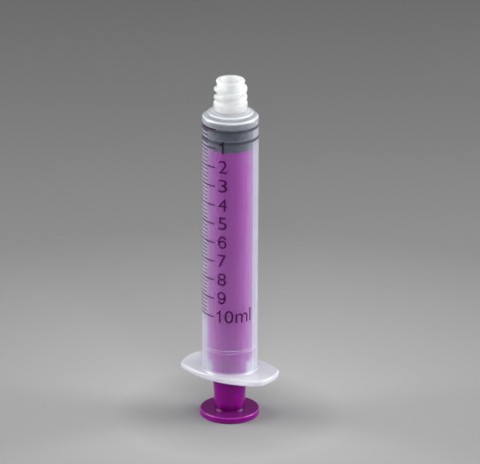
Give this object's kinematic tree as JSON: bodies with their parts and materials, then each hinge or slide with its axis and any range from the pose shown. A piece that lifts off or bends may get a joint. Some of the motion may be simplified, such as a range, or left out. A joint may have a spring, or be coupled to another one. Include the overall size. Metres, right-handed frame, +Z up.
{
  "type": "enteral syringe",
  "caption": "Three-piece feeding syringe: clear graduated barrel with a wide threaded nozzle and finger flange, hollow round plunger rod on a thumb disc, rubber seal.",
  "frame": {"origin": "centre of the thumb disc's underside, on the surface the syringe stands on", "axes": "+Z up along the barrel towards the nozzle, X along the finger flange's long axis, the scale facing -Y"},
  "size_m": [0.0312, 0.0194, 0.1076],
  "materials": {
    "clear_barrel": "satin translucent polypropylene",
    "purple_rod": "gloss",
    "rubber_seal": "matt"
  },
  "bodies": {
    "rod": {"plunger_rod": "purple_rod"},
    "seal": {"plunger_seal": "rubber_seal"},
    "barrel": {"barrel": "clear_barrel"}
  },
  "joints": [
    {"name": "rod_spin", "type": "hinge", "parent": "rod", "child": "seal", "pos_m": [0, 0, 0.08681], "axis": [0, 0, 1], "continuous": true},
    {"name": "barrel_slide", "type": "slide", "parent": "seal", "child": "barrel", "axis": [0, 0, 1], "range_m": [0, 0.065]}
  ]
}
